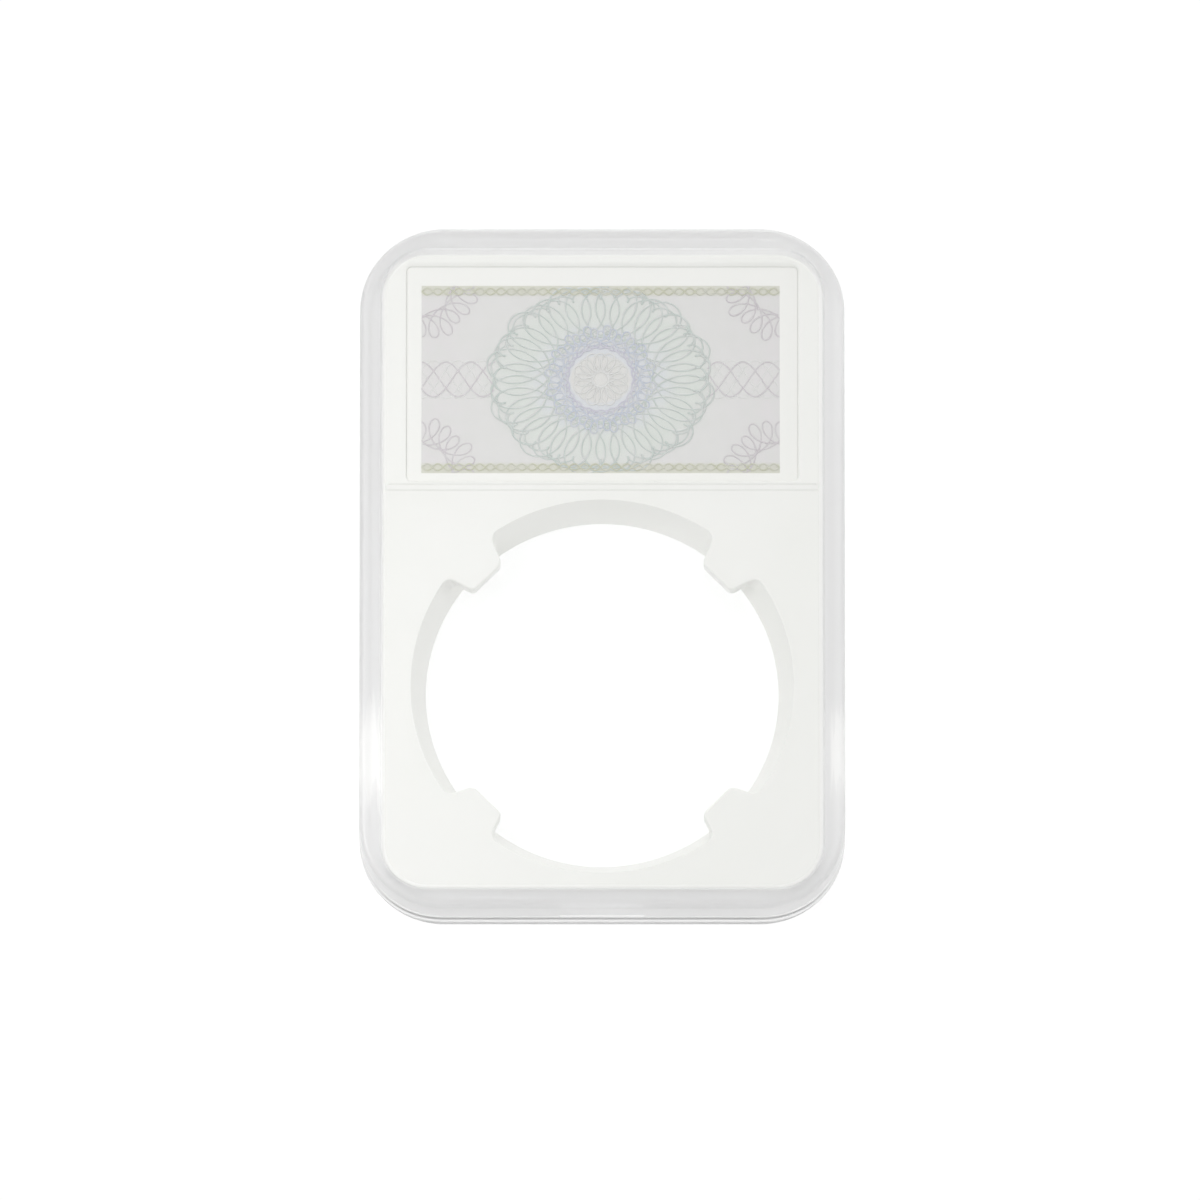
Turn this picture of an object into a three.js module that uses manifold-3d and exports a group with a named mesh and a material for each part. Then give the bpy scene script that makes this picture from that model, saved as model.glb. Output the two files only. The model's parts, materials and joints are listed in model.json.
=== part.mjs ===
// Coin slab holder: two clear shells that press together round a white coin insert with a label card.
// Millimetres. The slab lies on its back: +X to the right, +Y towards the label, +Z out of the front
// window. The origin lies below the slab's centre, on the surface that the back rim rests on.

import * as THREE from "three";
import { mergeVertices } from "three/addons/utils/BufferGeometryUtils.js";
import Module from "manifold-3d";

// Driving dimensions of the coin's seat
const coinDiameter = 40;
const coinDrop = 0.35; // how far the coin's centre lies below the middle of the hole
const prongReach = 1.75; // from the coin's edge out to the wall of the hole at the back
const prongThickness = 2.4;
const prongFlatWidth = 5.0;
const prongRootWidth = 7.8;
const prongCornerRound = 0.7;
const prongLeadIn = 0.35; // bevel on the front edge of each prong
const prongAngles = [45, 135, 225, 315]; // degrees round the coin
const holeFlare = 1.9; // how much wider the hole is at the front than at the back

// Driving dimensions of the insert
const insertThickness = 5.3;
const insertEdgeRound = 0.3;
const sideMargin = 3.45; // from the flared hole to the insert's side
const lowerMargin = 2.1; // from the flared hole to the insert's lower end
const ribMargin = 1.1; // from the flared hole to the rib
const ribWidth = 1.1;
const ribHeight = 0.35;
const ribBevel = 0.2;
const ribEndInset = 0.3;

// Driving dimensions of the label
const cardHeight = 27.3;
const cardThickness = 0.4;
const cardCorner = 0.6;
const cardClearance = 0.3;
const cardSink = 0.4; // how far the card's face lies below the insert's face
const pocketSideFrame = 2.6;
const pocketTopFrame = 1.2;

// Driving dimensions of the shells
const wallThickness = 2.6;
const windowThickness = 1.2;
const frontRimRise = 0.6;
const backRimRise = 0.6;
const insertClearance = 0.3; // between the insert's sides and the walls
const windowClearance = 0.15; // between the rib and the front window
const slabCorner = 10.5;
const cornerStep = 5.0; // how much sharper the insert's corners are than the slab's
const edgeRound = 0.7;
const rimInnerBevel = 0.25;
const seamBevel = 0.15;
const skirtThickness = 1.1; // the front shell's wall, which fits over the tongue
const skirtHeight = 2.9; // from the front window's inner face down to the seam
const tongueClearance = 0.3;
const tongueBevel = 0.25;
const pryNotchWidth = 10.4;
const pryNotchDepth = 0.8;
const pryNotchHeight = 0.9;

// Fineness of the round forms
const cornerSteps = 10;
const roundSteps = 3;
const holeSteps = 96;
const overrun = 1; // how far a cutting solid runs past the face that it leaves through

// Sizes that follow from the driving dimensions
const coinRadius = coinDiameter / 2;
const holeRadius = coinRadius + prongReach;
const holeFrontRadius = holeRadius + holeFlare;
const pocketHeight = cardHeight + 2 * cardClearance;
const insertWidth = 2 * (holeFrontRadius + sideMargin);
const insertLength = pocketTopFrame + pocketHeight + ribWidth + ribMargin + 2 * holeFrontRadius + lowerMargin;
const chamberWidth = insertWidth + 2 * insertClearance;
const chamberLength = insertLength + 2 * insertClearance;
const slabWidth = chamberWidth + 2 * wallThickness;
const slabLength = chamberLength + 2 * wallThickness;
const insertCorner = slabCorner - cornerStep;
const chamberCorner = insertCorner + insertClearance;

const pocketWidth = insertWidth - 2 * pocketSideFrame;
const cardWidth = pocketWidth - 2 * cardClearance;
const pocketTop = insertLength / 2 - pocketTopFrame;
const pocketBottom = pocketTop - pocketHeight;
const labelCentreY = (pocketTop + pocketBottom) / 2;
const ribBottom = pocketBottom - ribWidth;
const holeCentreY = ribBottom - ribMargin - holeFrontRadius;
const coinCentreY = holeCentreY - coinDrop;
const pocketDepth = cardThickness + cardSink;
const pocketCorner = cardCorner + cardClearance;

// Heights above the surface that the slab rests on
const chamberFloor = backRimRise + windowThickness;
const insertFace = chamberFloor + insertThickness;
const frontWindowInner = insertFace + ribHeight + windowClearance;
const frontWindowOuter = frontWindowInner + windowThickness;
const slabThickness = frontWindowOuter + frontRimRise;
const seamHeight = frontWindowInner - skirtHeight;
const tongueTop = frontWindowInner - tongueClearance;

const wasm = await Module();
wasm.setup();

// A closed three.js geometry as a solid that can be cut and joined
function solidOf(geometry) {
  const bare = geometry.clone();
  bare.deleteAttribute("normal");
  bare.deleteAttribute("uv");
  const merged = mergeVertices(bare, 1e-4);
  return new wasm.Manifold(new wasm.Mesh({
    numProp: 3,
    vertProperties: new Float32Array(merged.attributes.position.array),
    triVerts: new Uint32Array(merged.index.array),
  }));
}

// A cut and joined solid as a three.js geometry
function geometryOf(solid) {
  const mesh = solid.getMesh();
  const geometry = new THREE.BufferGeometry();
  geometry.setAttribute("position", new THREE.BufferAttribute(new Float32Array(mesh.vertProperties), 3));
  geometry.setIndex(new THREE.BufferAttribute(new Uint32Array(mesh.triVerts), 1));
  geometry.computeVertexNormals();
  return geometry;
}

// The points of a rectangle with round corners, counter-clockwise, drawn in by an inset all round
function roundedOutline(width, length, corner, inset = 0) {
  const radius = Math.max(corner - inset, 0.01);
  const acrossX = width / 2 - inset - radius;
  const acrossY = length / 2 - inset - radius;
  const centres = [[acrossX, acrossY], [-acrossX, acrossY], [-acrossX, -acrossY], [acrossX, -acrossY]];
  const points = [];
  centres.forEach(([x, y], quarter) => {
    for (let step = 0; step <= cornerSteps; step += 1) {
      const angle = (quarter + step / cornerSteps) * Math.PI / 2;
      points.push([x + radius * Math.cos(angle), y + radius * Math.sin(angle)]);
    }
  });
  return points;
}

// A solid through outlines at rising levels: each level has its height and how far it is drawn in
function roundedBlock(width, length, corner, levels) {
  const rings = levels.map(({ z, inset }) => roundedOutline(width, length, corner, inset)
    .map(([x, y]) => [x, y, z]));
  const count = rings[0].length;
  const positions = rings.flat(2);
  const top = rings.length - 1;
  const index = [];
  for (let level = 0; level < top; level += 1) {
    for (let i = 0; i < count; i += 1) {
      const here = level * count + i;
      const next = level * count + (i + 1) % count;
      index.push(here, next, next + count, here, next + count, here + count);
    }
  }
  for (let i = 1; i < count - 1; i += 1) {
    index.push(0, i + 1, i);
    index.push(top * count, top * count + i, top * count + i + 1);
  }
  const geometry = new THREE.BufferGeometry();
  geometry.setAttribute("position", new THREE.Float32BufferAttribute(positions, 3));
  geometry.setIndex(index);
  return solidOf(geometry);
}

// The levels of a straight block between two heights
function straight(low, high) {
  return [{ z: low, inset: 0 }, { z: high, inset: 0 }];
}

// The levels that round off an edge at the height z, going up into it or up out of it
function roundEdge(z, radius, rising) {
  const levels = [];
  for (let step = 0; step <= roundSteps; step += 1) {
    const angle = (step / roundSteps) * Math.PI / 2;
    const inset = radius * (1 - Math.cos(angle));
    const back = radius * (1 - Math.sin(angle));
    levels.push(rising ? { z: z - back, inset } : { z: z + back, inset });
  }
  return rising ? levels : levels.reverse();
}

// An upright box from its lowest and highest corners
function box(low, high) {
  const size = high.map((value, axis) => value - low[axis]);
  const geometry = new THREE.BoxGeometry(...size);
  geometry.translate(...low.map((value, axis) => value + size[axis] / 2));
  return solidOf(geometry);
}

// A flat shape raised between two heights
function raised(shape, low, high) {
  const geometry = new THREE.ExtrudeGeometry(shape, { depth: high - low, bevelEnabled: false, curveSegments: 5 });
  geometry.translate(0, 0, low);
  return solidOf(geometry);
}

// A bar along X whose upper edges are bevelled
function bevelledBar(halfLength, low, high, bottom, top, bevel) {
  const profile = new THREE.Shape();
  profile.moveTo(low, bottom);
  profile.lineTo(high, bottom);
  profile.lineTo(high, top - bevel);
  profile.lineTo(high - bevel, top);
  profile.lineTo(low + bevel, top);
  profile.lineTo(low, top - bevel);
  profile.closePath();
  const geometry = new THREE.ExtrudeGeometry(profile, { depth: 2 * halfLength, bevelEnabled: false });
  const turn = new THREE.Matrix4().makeBasis(
    new THREE.Vector3(0, 1, 0),
    new THREE.Vector3(0, 0, 1),
    new THREE.Vector3(1, 0, 0),
  );
  geometry.applyMatrix4(turn);
  geometry.translate(-halfLength, 0, 0);
  return solidOf(geometry);
}

// Back shell: a shallow clear tray with a raised rim to rest on and a tongue all round above the seam
function backShell() {
  const body = roundedBlock(slabWidth, slabLength, slabCorner, [
    ...roundEdge(0, edgeRound, false),
    { z: seamHeight - seamBevel, inset: 0 },
    { z: seamHeight, inset: seamBevel },
  ]);
  const tongueSide = skirtThickness + tongueClearance;
  const tongue = roundedBlock(slabWidth, slabLength, slabCorner, [
    { z: chamberFloor, inset: tongueSide },
    { z: tongueTop - tongueBevel, inset: tongueSide },
    { z: tongueTop, inset: tongueSide + tongueBevel },
  ]);
  const chamber = roundedBlock(chamberWidth, chamberLength, chamberCorner,
    straight(chamberFloor, tongueTop + overrun));
  const underside = roundedBlock(chamberWidth, chamberLength, chamberCorner, [
    { z: -overrun, inset: -rimInnerBevel },
    { z: 0, inset: -rimInnerBevel },
    { z: rimInnerBevel, inset: 0 },
    { z: backRimRise, inset: 0 },
  ]);
  return geometryOf(body.add(tongue).subtract(chamber).subtract(underside));
}

// Front shell: the clear lid with the front window, a raised stacking rim and a skirt round the tongue
function frontShell() {
  const body = roundedBlock(slabWidth, slabLength, slabCorner, [
    { z: seamHeight, inset: seamBevel },
    { z: seamHeight + seamBevel, inset: 0 },
    ...roundEdge(slabThickness, edgeRound, true),
  ]);
  const insideSkirt = roundedBlock(slabWidth, slabLength, slabCorner, [
    { z: seamHeight - overrun, inset: skirtThickness },
    { z: frontWindowInner, inset: skirtThickness },
  ]);
  const upperside = roundedBlock(chamberWidth, chamberLength, chamberCorner, [
    { z: frontWindowOuter, inset: 0 },
    { z: slabThickness - rimInnerBevel, inset: 0 },
    { z: slabThickness, inset: -rimInnerBevel },
    { z: slabThickness + overrun, inset: -rimInnerBevel },
  ]);
  const pryNotch = box(
    [-pryNotchWidth / 2, -slabLength / 2 - overrun, seamHeight - overrun],
    [pryNotchWidth / 2, -slabLength / 2 + pryNotchDepth, seamHeight + pryNotchHeight],
  );
  return geometryOf(body.subtract(insideSkirt).subtract(upperside).subtract(pryNotch));
}

// One prong seen from the front, pointing along +X from the coin's centre, with round tips
function prongShape() {
  const tip = prongFlatWidth / 2;
  const root = prongRootWidth / 2;
  const flank = new THREE.Vector2(holeFrontRadius - coinRadius, root - tip).normalize();
  const alongX = flank.x * prongCornerRound;
  const alongY = flank.y * prongCornerRound;
  const behind = holeFrontRadius + overrun;
  const shape = new THREE.Shape();
  shape.moveTo(coinRadius, tip - prongCornerRound);
  shape.quadraticCurveTo(coinRadius, tip, coinRadius + alongX, tip + alongY);
  shape.lineTo(holeFrontRadius, root);
  shape.lineTo(behind, root);
  shape.lineTo(behind, -root);
  shape.lineTo(holeFrontRadius, -root);
  shape.lineTo(coinRadius + alongX, -tip - alongY);
  shape.quadraticCurveTo(coinRadius, -tip, coinRadius, -tip + prongCornerRound);
  shape.closePath();
  return shape;
}

// The round cutter of the coin's hole, which widens evenly from the back to the front
function holeCutter() {
  const profile = [
    [0, chamberFloor - overrun],
    [holeRadius, chamberFloor - overrun],
    [holeRadius, chamberFloor],
    [holeFrontRadius, insertFace],
    [holeFrontRadius, insertFace + overrun],
    [0, insertFace + overrun],
  ].map(([radius, height]) => new THREE.Vector2(radius, height));
  const geometry = new THREE.LatheGeometry(profile, holeSteps);
  geometry.rotateX(Math.PI / 2);
  return solidOf(geometry);
}

// A flared cutter that bevels the front edge of the prongs as a lead-in for the coin
function leadInCutter() {
  const profile = [
    [0, insertFace - prongLeadIn],
    [coinRadius, insertFace - prongLeadIn],
    [coinRadius + prongLeadIn, insertFace],
    [coinRadius + prongLeadIn, insertFace + overrun],
    [0, insertFace + overrun],
  ].map(([radius, height]) => new THREE.Vector2(radius, height));
  const geometry = new THREE.LatheGeometry(profile, holeSteps);
  geometry.rotateX(Math.PI / 2);
  return solidOf(geometry);
}

// Coin insert: the white plate with the flared and pronged hole, the label pocket and the rib between them
function coinInsert() {
  const plate = roundedBlock(insertWidth, insertLength, insertCorner, [
    ...roundEdge(chamberFloor, insertEdgeRound, false),
    ...roundEdge(insertFace, insertEdgeRound, true),
  ]);
  const rib = bevelledBar(insertWidth / 2 - ribEndInset, ribBottom, pocketBottom,
    insertFace - ribHeight, insertFace + ribHeight, ribBevel);
  const pocket = roundedBlock(pocketWidth, pocketHeight, pocketCorner,
    straight(insertFace - pocketDepth, insertFace + overrun)).translate([0, labelCentreY, 0]);
  const prong = raised(prongShape(), insertFace - prongThickness, insertFace + 2 * overrun);
  const prongs = wasm.Manifold.union(prongAngles.map((angle) => prong.rotate([0, 0, angle])));
  const round = holeCutter().translate([0, coinDrop, 0]);
  const hole = round.subtract(prongs).add(leadInCutter()).translate([0, coinCentreY, 0]);
  return geometryOf(plate.add(rib).subtract(pocket).subtract(hole));
}

// Label card: a plain card that lies in the insert's pocket
function labelCard() {
  const floor = insertFace - pocketDepth;
  const card = roundedBlock(cardWidth, cardHeight, cardCorner, straight(floor, floor + cardThickness));
  return geometryOf(card.translate([0, labelCentreY, 0]));
}

const clearPlastic = { color: 0xeef2f3, roughness: 0.06, metalness: 0, transparent: true, opacity: 0.3 };
const whitePlastic = { color: 0xf0f1ec, roughness: 0.5, metalness: 0 };
const printedCard = { color: 0xd6d3d6, roughness: 0.6, metalness: 0 };

function piece(name, geometry, finish) {
  const mesh = new THREE.Mesh(geometry, new THREE.MeshStandardMaterial(finish));
  mesh.name = name;
  return mesh;
}

const slab = new THREE.Group();
slab.add(
  piece("back_shell", backShell(), clearPlastic),
  piece("coin_insert", coinInsert(), whitePlastic),
  piece("label_card", labelCard(), printedCard),
  piece("front_shell", frontShell(), clearPlastic),
);

export default slab;
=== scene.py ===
"""Coin slab holder: a clear two-shell case, a white pronged coin insert and a printed label card.

Sizes are millimetres. Meshes, camera and lamps are in metres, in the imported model's frame: the slab lies
on its back, +X to the right, +Y towards the label, +Z out of the front window.
"""

import json
import logging
import math
from dataclasses import dataclass
from enum import Enum
from typing import Any

import bmesh
import bpy
from mathutils import Matrix, Vector

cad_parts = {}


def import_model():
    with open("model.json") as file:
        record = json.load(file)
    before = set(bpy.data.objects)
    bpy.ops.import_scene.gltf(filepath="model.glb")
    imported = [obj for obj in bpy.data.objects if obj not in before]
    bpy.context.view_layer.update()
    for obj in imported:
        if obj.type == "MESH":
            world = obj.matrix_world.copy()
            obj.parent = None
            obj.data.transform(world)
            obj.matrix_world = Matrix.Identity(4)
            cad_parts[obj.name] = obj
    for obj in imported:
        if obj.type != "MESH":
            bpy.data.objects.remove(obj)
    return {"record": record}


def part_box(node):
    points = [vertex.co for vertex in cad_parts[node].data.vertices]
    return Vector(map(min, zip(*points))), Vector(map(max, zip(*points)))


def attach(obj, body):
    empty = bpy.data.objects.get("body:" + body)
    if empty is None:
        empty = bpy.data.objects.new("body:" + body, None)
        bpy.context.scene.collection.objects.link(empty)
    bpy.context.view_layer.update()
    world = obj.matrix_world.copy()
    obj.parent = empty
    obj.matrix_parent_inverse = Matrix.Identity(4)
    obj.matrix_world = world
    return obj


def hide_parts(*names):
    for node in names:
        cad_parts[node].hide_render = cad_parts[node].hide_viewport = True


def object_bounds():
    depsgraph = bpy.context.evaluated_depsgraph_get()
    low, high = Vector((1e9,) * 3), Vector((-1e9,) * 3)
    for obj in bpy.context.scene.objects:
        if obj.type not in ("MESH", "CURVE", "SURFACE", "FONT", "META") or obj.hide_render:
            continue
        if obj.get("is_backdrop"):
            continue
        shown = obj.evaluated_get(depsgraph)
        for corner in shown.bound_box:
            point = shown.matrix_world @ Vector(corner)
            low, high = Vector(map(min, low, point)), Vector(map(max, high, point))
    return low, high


Colour = tuple[float, float, float]
Place = tuple[float, float, float]
Span = tuple[float, float]
Sockets = dict[str | int, Any]

MM = 0.001
CASE_CORNER = 10.5
INSERT_CORNER = 5.5
CARD_CORNER = 0.6
INSERT_CLEARANCE = 0.3
SEAM_HEIGHT = 4.7
CORNER_STEPS = 32
SMALL_CORNER_STEPS = 8
ROUND_STEPS = 6
QUARTER_TURN = [step / ROUND_STEPS * math.pi / 2 for step in range(ROUND_STEPS + 1)]
MERGE_DISTANCE = 1e-4
SHARP_EDGE = math.radians(32)
FLAT_FACE_WEIGHT = 100
WHITE: Colour = (1.0, 1.0, 1.0)

log = logging.getLogger("coin_slab")


class Wire:
    """A node's output in a Python expression. Each operation on it adds its Math node."""

    def __init__(self, graph: "Graph", socket: bpy.types.NodeSocket) -> None:
        """Wraps a socket of the graph."""
        self.graph = graph
        self.socket = socket

    def maths(self, operation: str, *values: "Wire | float") -> "Wire":
        """Adds a Math node.

        Args:
            operation: The node's operation.
            values: What goes into its sockets, in their order.

        Returns:
            The node's result.
        """
        return self.graph.wire("ShaderNodeMath", dict(enumerate(values)), operation=operation)

    def __add__(self, other: "Wire | float") -> "Wire":
        """Self plus other."""
        return self.maths("ADD", self, other)

    __radd__ = __add__

    def __sub__(self, other: "Wire | float") -> "Wire":
        """Self less other."""
        return self.maths("SUBTRACT", self, other)

    def __rsub__(self, other: float) -> "Wire":
        """Other less self."""
        return self.maths("SUBTRACT", other, self)

    def __mul__(self, other: "Wire | float") -> "Wire":
        """Self times other."""
        return self.maths("MULTIPLY", self, other)

    __rmul__ = __mul__

    def __truediv__(self, other: "Wire | float") -> "Wire":
        """Self by other."""
        return self.maths("DIVIDE", self, other)

    def __abs__(self) -> "Wire":
        """Self without its sign."""
        return self.maths("ABSOLUTE", self)

    def __gt__(self, other: "Wire | float") -> "Wire":
        """1 where self is above other."""
        return self.maths("GREATER_THAN", self, other)

    def sine(self) -> "Wire":
        """The sine of self."""
        return self.maths("SINE", self)

    def cosine(self) -> "Wire":
        """The cosine of self."""
        return self.maths("COSINE", self)

    def at_least(self, other: "Wire | float") -> "Wire":
        """The larger of self and other."""
        return self.maths("MAXIMUM", self, other)

    def length_with(self, other: "Wire") -> "Wire":
        """The length of the vector (self, other)."""
        squares = self * self + other * other
        return squares.maths("SQRT", squares)

    def eased(self, low: float, high: float) -> "Wire":
        """0 at low, 1 at high, a smooth step between them and level past them. Low may be the larger one."""
        return self.graph.wire(
            "ShaderNodeMapRange",
            {"Value": self, "From Min": low, "From Max": high},
            interpolation_type="SMOOTHSTEP",
            clamp=True,
        )

    def eased_mm(self, span: Span) -> "Wire":
        """The smooth step of self, which is in metres, over a span in millimetres."""
        return self.eased(span[0] * MM, span[1] * MM)


class Graph:
    """One node tree, with the one method that adds any node to it."""

    def __init__(self, tree: bpy.types.NodeTree) -> None:
        """Starts on a tree."""
        self.tree = tree
        self.entry: bpy.types.Node | None = None
        self.inputs: dict[str, str] = {}

    @classmethod
    def of_material(cls, name: str) -> tuple["Graph", bpy.types.Material]:
        """Starts a new material.

        Args:
            name: The material's name.

        Returns:
            The graph of its empty tree, and the material.
        """
        material = bpy.data.materials.new(name)
        material.use_nodes = True
        material.node_tree.nodes.clear()
        return cls(material.node_tree), material

    @classmethod
    def of_geometry(cls, name: str) -> "Graph":
        """Starts a new Geometry Nodes tree.

        Args:
            name: The tree's name.

        Returns:
            The graph, with the tree's group input and its geometry output.
        """
        graph = cls(bpy.data.node_groups.new(name, "GeometryNodeTree"))
        graph.tree.interface.new_socket("Geometry", in_out="OUTPUT", socket_type="NodeSocketGeometry")
        graph.entry = graph.add("NodeGroupInput")
        return graph

    def add(self, kind: str, inputs: Sockets | None = None, **settings: Any) -> bpy.types.Node:
        """Adds a node.

        Args:
            kind: The node's type.
            inputs: Values or links of its sockets, by name or number. A list links each of its wires.
            settings: The node's own settings, which are set first.

        Returns:
            The new node.
        """
        node = self.tree.nodes.new(kind)
        for name, value in settings.items():
            setattr(node, name, value)
        for key, value in (inputs or {}).items():
            socket = node.inputs[key]
            for one in value if isinstance(value, list) else [value]:
                if isinstance(one, Wire):
                    self.tree.links.new(one.socket, socket)
                elif socket.type == "RGBA":
                    socket.default_value = (*one, 1.0)
                else:
                    socket.default_value = one
        return node

    def wire(self, kind: str, inputs: Sockets | None = None, output: str | int = 0, **settings: Any) -> Wire:
        """Adds a node and gives one of its outputs."""
        return Wire(self, self.add(kind, inputs, **settings).outputs[output])

    def named_inputs(self, kinds: dict[str, str]) -> list[Wire]:
        """Gives a Geometry Nodes tree its named inputs.

        Args:
            kinds: Each input's name, with its socket's type without the prefix, such as Float.

        Returns:
            The inputs inside the tree, in their order.
        """
        wires = []
        for name, kind in kinds.items():
            item = self.tree.interface.new_socket(name, in_out="INPUT", socket_type=f"NodeSocket{kind}")
            self.inputs[name] = item.identifier
            wires.append(Wire(self, self.entry.outputs[name]))
        return wires

    def blend(self, share: Wire | float, first: Any, second: Any) -> Wire:
        """A colour between two colours by a share."""
        return self.wire("ShaderNodeMix", {0: share, 6: first, 7: second}, output=2, data_type="RGBA")

    def place(self) -> Wire:
        """Where on the piece a point lies, in the frame's own metres."""
        return self.wire("ShaderNodeTexCoord", output="Object")

    def split(self, vector: Wire) -> tuple[Wire, Wire, Wire]:
        """The three parts of a vector."""
        parts = self.add("ShaderNodeSeparateXYZ", {0: vector})
        return tuple(Wire(self, part) for part in parts.outputs)

    def joined(self, **parts: Wire | float) -> Wire:
        """The vector with these parts, by X, Y and Z. A part that isn't given is 0."""
        return self.wire("ShaderNodeCombineXYZ", parts)

    def noise(self, place: Wire, grain: float, detail: float = 2.0) -> Wire:
        """Even noise from 0 to 1, with grains of a size in millimetres and so many finer layers."""
        return self.wire("ShaderNodeTexNoise", {"Vector": place, "Scale": 1 / (grain * MM), "Detail": detail})

    def bump(self, height: Wire, depth: float) -> Wire:
        """A bump of a depth in millimetres."""
        return self.wire("ShaderNodeBump", {"Height": height, "Distance": depth * MM}, output="Normal")

    def ray(self, kind: str) -> Wire:
        """1 for a ray of this kind, such as Camera, and 0 for any other."""
        return self.wire("ShaderNodeLightPath", output=f"Is {kind} Ray")

    def finish_material(self, surface: Wire) -> None:
        """Links the surface to the material's output."""
        self.add("ShaderNodeOutputMaterial", {"Surface": surface})

    def finish_principled(self, inputs: Sockets) -> None:
        """Ends a material with one Principled surface."""
        self.finish_material(self.wire("ShaderNodeBsdfPrincipled", inputs))

    def finish_geometry(self, geometry: Wire, material: Wire) -> None:
        """Ends a tree: instances made real, one material, and the output."""
        real = self.wire("GeometryNodeRealizeInstances", {"Geometry": geometry})
        dressed = self.wire("GeometryNodeSetMaterial", {"Geometry": real, "Material": material})
        self.add("NodeGroupOutput", {0: dressed})


def heading(angle: float) -> Vector:
    """The unit vector at an angle from +X."""
    return Vector((math.cos(angle), math.sin(angle)))


@dataclass(frozen=True)
class RoundedRectangle:
    """A rectangle with round corners, in millimetres."""

    half_x: float
    half_y: float
    corner: float
    middle_y: float = 0.0

    def drawn_in(self, inset: float) -> "RoundedRectangle":
        """The same outline drawn in all round, or grown by a negative inset."""
        return RoundedRectangle(self.half_x - inset, self.half_y - inset, self.corner - inset, self.middle_y)

    def raised(self, rise: float) -> "RoundedRectangle":
        """The same outline with its upper edge moved up."""
        return RoundedRectangle(self.half_x, self.half_y + rise / 2, self.corner, self.middle_y + rise / 2)

    def points(self, steps: int) -> list[Vector]:
        """Works out the outline.

        Args:
            steps: Steps round each corner.

        Returns:
            Its points, counter-clockwise.
        """
        across, along = self.half_x - self.corner, self.half_y - self.corner
        found = []
        for quarter, (side, end) in enumerate(((1, 1), (-1, 1), (-1, -1), (1, -1))):
            for step in range(steps + 1):
                turn = heading((quarter + step / steps) * math.pi / 2) * self.corner
                found.append(turn + Vector((side * across, end * along + self.middle_y)))
        return found

    def distance(self, x: Wire, y: Wire) -> Wire:
        """Measures how far a point of a surface lies outside the outline.

        Args:
            x: The point's place across.
            y: The point's place along.

        Returns:
            The distance in metres, below 0 inside the outline.
        """
        past_x = (abs(x) - (self.half_x - self.corner) * MM).at_least(0.0)
        past_y = (abs(y - self.middle_y * MM) - (self.half_y - self.corner) * MM).at_least(0.0)
        return past_x.length_with(past_y) - self.corner * MM


@dataclass(frozen=True)
class NodeBox:
    """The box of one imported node, in millimetres."""

    low: Vector
    high: Vector

    @classmethod
    def of(cls, node: str) -> "NodeBox":
        """The box of the node with this name."""
        low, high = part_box(node)
        return cls(Vector(low) / MM, Vector(high) / MM)

    def outline(self, corner: float) -> RoundedRectangle:
        """The box's outline from above, with round corners."""
        half = (self.high - self.low) / 2
        return RoundedRectangle(half.x, half.y, corner, (self.high.y + self.low.y) / 2)


Level = tuple[RoundedRectangle, float]
Ring = list[bmesh.types.BMVert]


class Leaves(Enum):
    """The way in which a rounding leaves its first level."""

    FLAT = "flat"
    UPRIGHT = "upright"


def rounding(outline: RoundedRectangle, first: Span, last: Span, leaves: Leaves) -> list[Level]:
    """Works out the levels of a quarter-round between two places on a section.

    Args:
        outline: The outline that the insets are measured from.
        first: Inset and height where it starts.
        last: Inset and height where it ends.
        leaves: Whether it starts out flat or upright.

    Returns:
        Outlines with their heights, in order.
    """
    levels = []
    for angle in QUARTER_TURN:
        quick, slow = math.sin(angle), 1 - math.cos(angle)
        in_share, up_share = (quick, slow) if leaves is Leaves.FLAT else (slow, quick)
        inset = first[0] + (last[0] - first[0]) * in_share
        height = first[1] + (last[1] - first[1]) * up_share
        levels.append((outline.drawn_in(inset), height))
    return levels


def add_object(name: str, data: bpy.types.ID) -> bpy.types.Object:
    """Puts a new object with this data into the scene."""
    made = bpy.data.objects.new(name, data)
    bpy.context.scene.collection.objects.link(made)
    return made


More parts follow.
